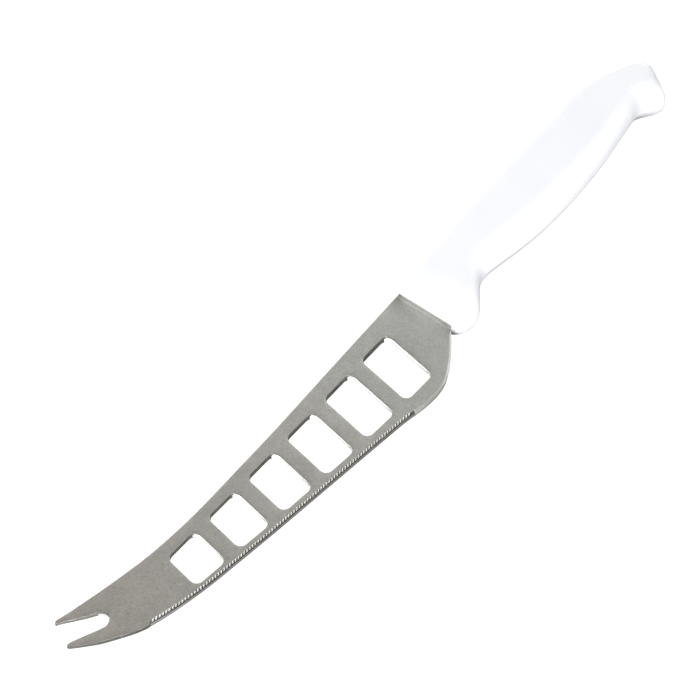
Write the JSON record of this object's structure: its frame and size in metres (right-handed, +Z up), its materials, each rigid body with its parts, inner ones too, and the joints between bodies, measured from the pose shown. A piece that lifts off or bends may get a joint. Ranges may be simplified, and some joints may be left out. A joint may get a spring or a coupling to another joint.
{
  "type": "cheese knife",
  "caption": "Cheese knife: a forked, finely serrated steel blade with cut-out windows, its tang moulded into a white plastic handle.",
  "frame": {"origin": "on the surface that the knife lies on, under the middle of its box", "axes": "+X along the knife from the fork to the butt, +Y from the cutting edge to the spine, +Z up, square to the blade's side"},
  "size_m": [0.249, 0.0368, 0.016],
  "materials": {
    "steel": "satin",
    "plastic": "satin"
  },
  "bodies": {
    "root": {"blade": "steel", "handle": "plastic"}
  },
  "joints": []
}
